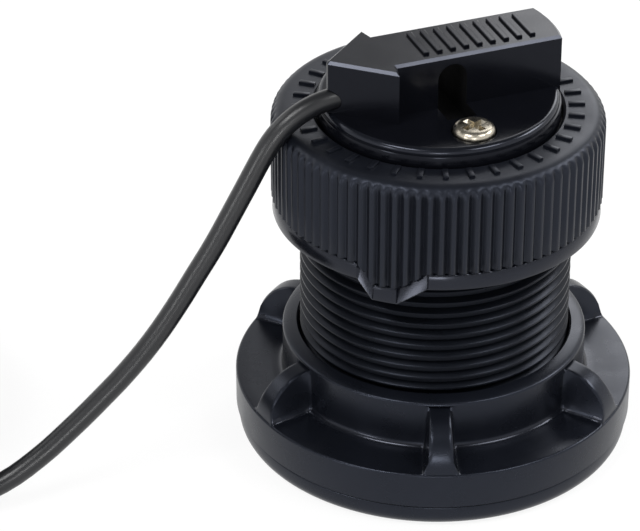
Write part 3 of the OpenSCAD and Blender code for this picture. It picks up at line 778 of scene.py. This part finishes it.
def makeHandle(s):
    r, top, under, past = s["headRadius"], s["headTop"], s["under"], s["cutPast"]
    edge, rounding = s["headEdge"], s["rimRounding"]
    profile = [(0, under), (r - edge, under), (r, under + edge)]
    profile += [(r - inward, top - down) for inward, down in s["rimStep"]]
    profile += roundCorner(r - s["rimInset"], top - rounding, rounding, 8, 82, 5)
    profile += [(r - s["rimFlat"], top), (0, top)]
    head = turnProfile("arrowHandle", profile, s["columns"])
    combine(head, makeArrow(s), "UNION")
    reach, half, arch = s["slotReach"], s["slotHalf"], s["slotTop"] - s["slotHalf"]
    slot = boxTool((-half, -reach, s["slotFloor"]), (half, reach, arch))
    combine(slot, rodTool(half, (0, -reach, arch), (0, reach, arch), "Y"), "UNION")
    combine(head, slot, "DIFFERENCE")
    wellX, wellR = s["well"]
    z = s["cableHeight"]
    combine(head, rodTool(wellR, (wellX, 0, under - past), (wellX, 0, z + s["wellRise"])), "DIFFERENCE")
    for radius, end in (s["cableBore"], s["glandBore"]):
        combine(head, rodTool(radius, (wellX, 0, z), (end, 0, z), "X"), "DIFFERENCE")
    for y in (-s["screwPlace"], s["screwPlace"]):
        combine(head, rodTool(s["screwHole"], (0, y, under - past), (0, y, top + past)), "DIFFERENCE")
        combine(head, rodTool(s["screwSink"], (0, y, s["screwSeat"]), (0, y, top + past)), "DIFFERENCE")
    return joinPieces(head, [makeBars(s)])


def makeArrow(s):  # flat outline with a round tail, raised, its upper edges eased
    half, back = s["shaftHalf"], s["tailRadius"]
    (bx, by), (px, py) = s["barb"], s["point"]
    swing = math.asin(half / back)
    tail = [(-back * math.cos(swing * share), -back * math.sin(swing * share)) for share in s["tailShares"]]
    outline = [(px, -py), (px, py), (bx, by), (s["neck"], half)] + tail + [(s["neck"], -half), (bx, -by)]
    foot = s["headTop"] - s["arrowSunk"]
    arrow = drawOutline("arrow", [(x, y, foot) for x, y in outline], True)
    bpy.ops.mesh.extrude_region_move(TRANSFORM_OT_translate={"value": (0, 0, (s["arrowTop"] - foot) * mm)})
    closeMesh(arrow)
    openMesh(arrow)
    high = s["arrowTop"] * mm - hair
    pickEdges(arrow, lambda e: all(v.co.z > high for v in e.verts))
    bpy.ops.mesh.bevel(offset=s["edge"] * mm, segments=1, affect="EDGES")
    return closeMesh(arrow)


def makeBars(s):  # one plain raised bar, copied along the shaft
    length, width, height = s["barSize"]
    inset, rise = s["barEase"]
    x, y, low = s["barStart"], width / 2, s["arrowTop"] - s["barSunk"]
    corners = [(x, -y, low), (x + length, -y, low), (x + length, y, low), (x, y, low)]
    bars = drawOutline("bars", corners, True)
    bpy.ops.mesh.extrude_region_move(
        TRANSFORM_OT_translate={"value": (0, 0, (height + s["barSunk"] - rise) * mm)})
    bpy.ops.mesh.inset(thickness=inset * mm, depth=0)
    bpy.ops.transform.translate(value=(0, 0, rise * mm))
    bpy.ops.mesh.select_all(action="SELECT")
    for i in range(s["barCount"] - 1):  # each copy is left selected for the next
        bpy.ops.mesh.duplicate_move(TRANSFORM_OT_translate={"value": (s["barStep"] * mm, 0, 0)})
    return closeMesh(bars)


def inSlot(face, s):  # the faces inside the handle's slot
    half, reach = s["slotHalf"] * mm + hair, s["slotReach"] * mm + hair
    floor, top = s["slotFloor"] * mm, s["slotTop"] * mm
    x, y, z = face.center
    inside = abs(x) < half and abs(y) < reach and floor - hair < z < top
    outerWall = abs(face.normal.y) > s["squareOn"] and abs(y) < reach - mm
    upperFace = face.normal.z > s["squareOn"] and z > floor + hair
    return inside and not outerWall and not upperFace


def onRim(face, s):  # the rounded edge of the head
    inward, lowest, highest = s["rimZone"]
    x, y, z = (c / mm for c in face.center)
    outer = s["headRadius"] - inward < math.hypot(x, y) < s["headRadius"]
    return outer and s["headTop"] - lowest < z < s["headTop"] - highest


def onChamfer(face, s):  # the eased upper edges of the arrow
    least, most = s["edgeLean"]
    return face.center.z > (s["arrowTop"] - s["edge"]) * mm and least < face.normal.z < most


arrowHandle = finishPiece(
    makeHandle(handle), "transducer", materials["handle_gloss"], "black_plastic", "handle", angle=28)
# the slot's inner faces get the dead black: painted shade
refinish(arrowHandle, materials["handle_slot"], lambda face: inSlot(face, handle))
refinish(arrowHandle, materials["edge_polish"], lambda face: onRim(face, handle) or onChamfer(face, handle))


# the handle's two pan head screws

screws = {
    "place": handle["screwPlace"],
    "seat": handle["screwSeat"],
    "headRadius": 3.8,
    "headHeight": 1.8,
    "headFoot": (0.15, 0.2),  # chamfer under the head: in, up
    "headRounding": 1.1,
    "headSide": 1.15,  # from the top down to the end of the straight side
    "headDome": (2.2, 0.02),  # in from the side, down from the top
    "shankRadius": 1.5,
    "shankFoot": 52.5,
    "shankTip": (0.9, 1.2),  # radius and length of the point
    "columns": 64,
    "recessTurn": 20,
    "recessFoot": (1.035, 0.48),  # half length and half width of a blade's foot
    "recessFlare": (2.6, 1.5, 1),  # growth from there to its mouth
    "recessDepth": 1.5,
    "recessPast": 0.4,
}


def makeScrews(s):
    seat, top, r, rounding = s["seat"], s["seat"] + s["headHeight"], s["headRadius"], s["headRounding"]
    shank, low = s["shankRadius"], s["shankFoot"]
    tipRadius, tipLength = s["shankTip"]
    (footIn, footUp), (domeIn, domeDown) = s["headFoot"], s["headDome"]
    profile = [(0, low), (tipRadius, low), (shank, low + tipLength), (shank, seat)]
    profile += [(r - footIn, seat), (r, seat + footUp), (r, top - s["headSide"])]
    profile += roundCorner(r - rounding, top - rounding, rounding, 8, 82, 6)
    profile += [(r - domeIn, top - domeDown), (0, top)]
    screw = turnProfile("handleScrews", profile, s["columns"])
    for turn in (s["recessTurn"], s["recessTurn"] + 90):
        combine(screw, settle(makeBlade(s, top), turn=(0, 0, turn)), "DIFFERENCE")
    openMesh(screw)
    bpy.ops.mesh.select_all(action="SELECT")
    bpy.ops.transform.translate(value=(0, s["place"] * mm, 0))
    bpy.ops.mesh.duplicate_move(TRANSFORM_OT_translate={"value": (0, -2 * s["place"] * mm, 0)})
    return closeMesh(screw)


def makeBlade(s, top):  # flared cutter for one arm of the cross recess
    x, y = s["recessFoot"]
    low = top - s["recessDepth"]
    blade = drawOutline("recess", [(-x, -y, low), (x, -y, low), (x, y, low), (-x, y, low)], True)
    bpy.ops.mesh.extrude_region_move(
        TRANSFORM_OT_translate={"value": (0, 0, (s["recessDepth"] + s["recessPast"]) * mm)})
    bpy.ops.transform.resize(value=s["recessFlare"])
    return closeMesh(blade)


finishPiece(
    makeScrews(screws), "transducer", materials["stainless_steel"], "stainless_steel", "handle_screws")


# connector on the end of the cable

connector = {
    "place": (152, -32, 33.05),
    "cableRadius": 2,
    "bootStart": ((0, 0), (0.8, 0), (1, 0.2)),  # out from the cable, along the boot
    "boot": 12,
    "ringCount": 5,
    "ringStart": (1.2, 1.2),  # first ring of the strain relief: out from the cable, along the boot
    "ringStep": (0.5, 2),
    "ringShape": ((0, 0), (0, 1.1), (-0.5, 1.3), (-0.4, 1.9)),
    "gripRadius": 7.8,
    "gripLength": 20,
    "gripStart": ((-2, 0), (-0.3, 1.2), (0, 1.6)),  # out from the grip, along it
    "gripEdge": 0.5,
    "gripRibs": 24,
    "columnsPerRib": 6,
    "grooveColumns": 2,
    "grooveEnd": 3,  # from either end of the grip
    "grooveDepth": 0.7,
    "noseRadius": 4.3,
    "noseLength": 16,
    "noseEdge": 0.4,
    "noseWall": 1.2,
    "noseEase": 0.2,
    "socketFloor": 4,  # past the end of the grip
    "nutRadius": 7.2,
    "nutLength": 12,
    "nutPlay": 0.1,
    "nutEdge": 0.6,
    "nutRibs": 36,
    "nutColumnsPerRib": 4,
    "knurlColumns": 2,
    "knurlEnds": (1.2, 3.2),  # from the nut's start and end
    "knurlDepth": 0.35,
    "nutStep": ((0, 2.5), (0.3, 2.2), (1.2, 2), (1.2, 0.3), (1.5, 0)),  # in from the nut, back from its end
}


def makeConnectorBody(s):
    boot, grip, end, cable = s["boot"], s["gripRadius"], s["boot"] + s["gripLength"], s["cableRadius"]
    nose, tip, floor = s["noseRadius"], end + s["noseLength"], end + s["socketFloor"]
    bore, edge = nose - s["noseWall"], s["noseEdge"]
    profile = [(cable + out, along) for out, along in s["bootStart"]]
    for i in range(s["ringCount"]):
        r, z = (start + i * step for start, step in zip(s["ringStart"], s["ringStep"]))
        profile += [(cable + r + out, z + along) for out, along in s["ringShape"]]
    profile += [(grip + out, boot + along) for out, along in s["gripStart"]]
    grooved = range(len(profile), len(profile) + 2)  # the two rings between which the grip is grooved
    profile += [(grip, boot + s["grooveEnd"]), (grip, end - s["grooveEnd"])]
    profile += [(grip, end - s["gripEdge"]), (grip - s["gripEdge"], end), (nose, end)]
    profile += [(nose, tip - edge), (nose - edge, tip)]
    profile += [(bore + s["noseEase"], tip), (bore, tip - s["noseEase"])]
    profile += [(bore, floor), (0, floor)]
    body = turnProfile("connectorBody", profile, s["gripRibs"] * s["columnsPerRib"])
    cutGrooves(
        body, profile, grooved, s["gripRibs"], s["columnsPerRib"], s["grooveColumns"], s["grooveDepth"])
    return settle(body, s["place"], (90, 0, 0))


def makeConnectorNut(s):
    r, edge, bore = s["nutRadius"], s["nutEdge"], s["noseRadius"] + s["nutPlay"]
    start = s["boot"] + s["gripLength"] + s["nutPlay"]
    end = start + s["nutLength"]
    profile = [(bore, start), (r - edge, start), (r, start + edge)]
    grooved = range(len(profile), len(profile) + 2)
    profile += [(r, start + s["knurlEnds"][0]), (r, end - s["knurlEnds"][1])]
    profile += [(r - inward, end - back) for inward, back in s["nutStep"]] + [(bore, end)]
    nut = turnProfile("connectorNut", profile + profile[:1], s["nutRibs"] * s["nutColumnsPerRib"])
    cutGrooves(
        nut, profile, grooved, s["nutRibs"], s["nutColumnsPerRib"], s["knurlColumns"], s["knurlDepth"])
    return settle(nut, s["place"], (90, 0, 0))


def cutGrooves(piece, profile, rings, ribs, perRib, cut, depth):  # the first columns of each rib go in
    table = ringTable(piece, profile, ribs * perRib)
    openMesh(piece)
    for k in rings:
        r = profile[k][0]
        chosen = [i for i, (ring, column) in enumerate(table) if ring == k and column % perRib < cut]
        shiftVerts(piece, chosen, (r - depth) / r)
    closeMesh(piece)


connectorBody = finishPiece(
    makeConnectorBody(connector), "transducer", materials["black_plastic"], "black_plastic",
    "connector_body")
connectorNut = finishPiece(
    makeConnectorNut(connector), "connector_nut", materials["nickel_plate"], "nickel_plate",
    "connector_nut")


# two woven ties round the coil

ties = {
    "turns": (25, 205),  # degrees round the coil
    "width": 8,
    "widthSteps": 4,
    "thickness": 1,
    "inner": 17.3,
    "outer": 42.3,
    "low": 1.15,
    "high": 25.3,
    "corner": 2,
    # the top layer is short of turns outside, so the tie slopes there
    "slopeFoot": ((42.3, 19.4), (42, 20.5), (41.1, 21.3)),
    "slopeHead": ((34.7, 24.85), (33.5, 25.3)),
    "edge": 0.25,
    "edgeAngle": 50,  # degrees, the least turn of an edge that is eased
}


def makeTies(s):
    c, inner, outer, low, high = s["corner"], s["inner"], s["outer"], s["low"], s["high"]
    loop = roundCorner(inner + c, low + c, c, 180, 270, 4) + roundCorner(outer - c, low + c, c, 270, 360, 4)
    loop += [*s["slopeFoot"], *s["slopeHead"]]
    loop += roundCorner(inner + c, high - c, c, 90, 180, 4)
    half, steps = s["width"] / 2, s["widthSteps"]
    band = drawOutline("coilTies", [(r, -half, z) for r, z in loop + loop[:1]])
    bpy.ops.mesh.remove_doubles(threshold=mergeGap)
    for step in range(steps):
        bpy.ops.mesh.extrude_region_move(TRANSFORM_OT_translate={"value": (0, s["width"] / steps * mm, 0)})
    closeMesh(band)
    shell = band.modifiers.new("thickness", "SOLIDIFY")
    shell.thickness = s["thickness"] * mm
    shell.offset = 1
    ease = band.modifiers.new("ease", "BEVEL")
    ease.width = s["edge"] * mm
    ease.segments = 2
    ease.limit_method = "ANGLE"
    ease.angle_limit = math.radians(s["edgeAngle"])
    applyModifiers(band)
    other = band.copy()
    other.data = band.data.copy()
    bpy.context.scene.collection.objects.link(other)
    place = (*cableRun["coilCentre"], 0)
    for piece, turn in zip((band, other), s["turns"]):
        settle(piece, place, (0, 0, turn))
    return joinPieces(band, [other])


coilTies = finishPiece(makeTies(ties), "transducer", materials["tie_webbing"], "tie_webbing", "coil_ties")


# floor, world and lamps

studio = {
    "floorSize": 6,  # metres
    "floorColour": "#f4f4f4",
    "glowStrength": 1.04,  # a shade past white, so the paper stays white in weaker light
    "floorGlow": 0.85,  # share of the floor that is plain white to the camera, the rest keeps the shadow
    "worldStrength": 0.4,
    "ceiling": (22, 48, 0.2),  # degrees up where the backdrop ends and the ceiling starts, its grey
    # degrees from the camera (positive is to the right), elevation, distance, width and height, watts
    "lamps": {
        "leftFrontLamp": (-42, 54, 1.0, (0.38, 0.25), 3.9),
        "rightFrontLamp": (58, 51, 1.0, (0.38, 0.25), 3.1),
        "frontLamp": (2, 8, 1.2, (0.2, 0.2), 1.8),
        "leftLowLamp": (-44, 10, 1.2, (0.22, 0.22), 1.5),
        "backLamp": (164, 30, 1.1, (0.5, 0.45), 2.4),
        "rightLamp": (108, 38, 1.0, (0.42, 0.25), 3.4),
        "leftLamp": (-112, 34, 1.1, (0.4, 0.4), 0.7),
    },
    "aim": (0, 0, 0.04),
}


def seenDirectly(tree):  # 1 for camera, glossy and transmission rays
    path = addNode(tree, "ShaderNodeLightPath", {})
    either = addNode(tree, "ShaderNodeMath",
                     {0: path.outputs["Is Camera Ray"], 1: path.outputs["Is Glossy Ray"]},
                     operation="MAXIMUM")
    return addNode(tree, "ShaderNodeMath", {0: either.outputs[0], 1: path.outputs["Is Transmission Ray"]},
                   operation="MAXIMUM").outputs[0]


def makeFloor(s):
    clearSelection()
    bpy.ops.mesh.primitive_plane_add(size=s["floorSize"])
    floor = bpy.context.object
    floor.name = "studioFloor"
    material = bpy.data.materials.new("paperSweep")  # matt white paper
    material.use_nodes = True
    tree = material.node_tree
    tree.nodes.clear()
    paper = addNode(tree, "ShaderNodeBsdfDiffuse", {"Color": linear(s["floorColour"])})
    glow = addNode(tree, "ShaderNodeEmission", {"Color": (1, 1, 1, 1), "Strength": s["glowStrength"]})
    share = addNode(
        tree, "ShaderNodeMath", {0: seenDirectly(tree), 1: s["floorGlow"]}, operation="MULTIPLY").outputs[0]
    mix = addNode(tree, "ShaderNodeMixShader", {0: share, 1: paper.outputs[0], 2: glow.outputs[0]})
    addNode(tree, "ShaderNodeOutputMaterial", {"Surface": mix.outputs[0]})
    floor.data.materials.append(material)


def makeWorld(s):
    world = bpy.data.worlds.new("studioWorld")
    bpy.context.scene.world = world
    world.use_nodes = True
    tree = world.node_tree
    tree.nodes.clear()
    backdropEnd, ceilingStart, grey = s["ceiling"]
    ray = addNode(tree, "ShaderNodeTexCoord", {}).outputs["Generated"]
    height = addNode(tree, "ShaderNodeSeparateXYZ", {"Vector": ray}).outputs["Z"]
    low, high = math.sin(math.radians(backdropEnd)), math.sin(math.radians(ceilingStart))
    seen = addNode(tree, "ShaderNodeMapRange",
                   {"Value": height, "From Min": low, "From Max": high, "To Min": 1, "To Max": grey},
                   interpolation_type="SMOOTHSTEP").outputs["Result"]
    strength = addNode(tree, "ShaderNodeMix",
                       {"Factor": seenDirectly(tree), "A": s["worldStrength"], "B": seen}).outputs["Result"]
    sky = addNode(tree, "ShaderNodeBackground", {"Color": (1, 1, 1, 1), "Strength": strength})
    addNode(tree, "ShaderNodeOutputWorld", {"Surface": sky.outputs[0]})


def makeLamps(s):
    x, y, z = photoView["place"]
    front = math.atan2(y, x)
    for name, (turn, lift, distance, size, watts) in s["lamps"].items():
        lamp = bpy.data.lights.new(name, "AREA")
        lamp.shape = "RECTANGLE"
        lamp.size, lamp.size_y = size
        lamp.energy = watts
        stand = bpy.data.objects.new(name, lamp)
        bpy.context.scene.collection.objects.link(stand)
        a, e = front + math.radians(turn), math.radians(lift)
        away = [math.cos(e) * math.cos(a), math.cos(e) * math.sin(a), math.sin(e)]
        stand.location = [c + distance * d for c, d in zip(s["aim"], away)]
        stand.rotation_euler = (math.pi / 2 - e, 0, a + math.pi / 2)
        stand.visible_camera = False


makeFloor(studio)
makeWorld(studio)
makeLamps(studio)
bpy.context.scene.view_settings.view_transform = "Standard"
print("studio ready")
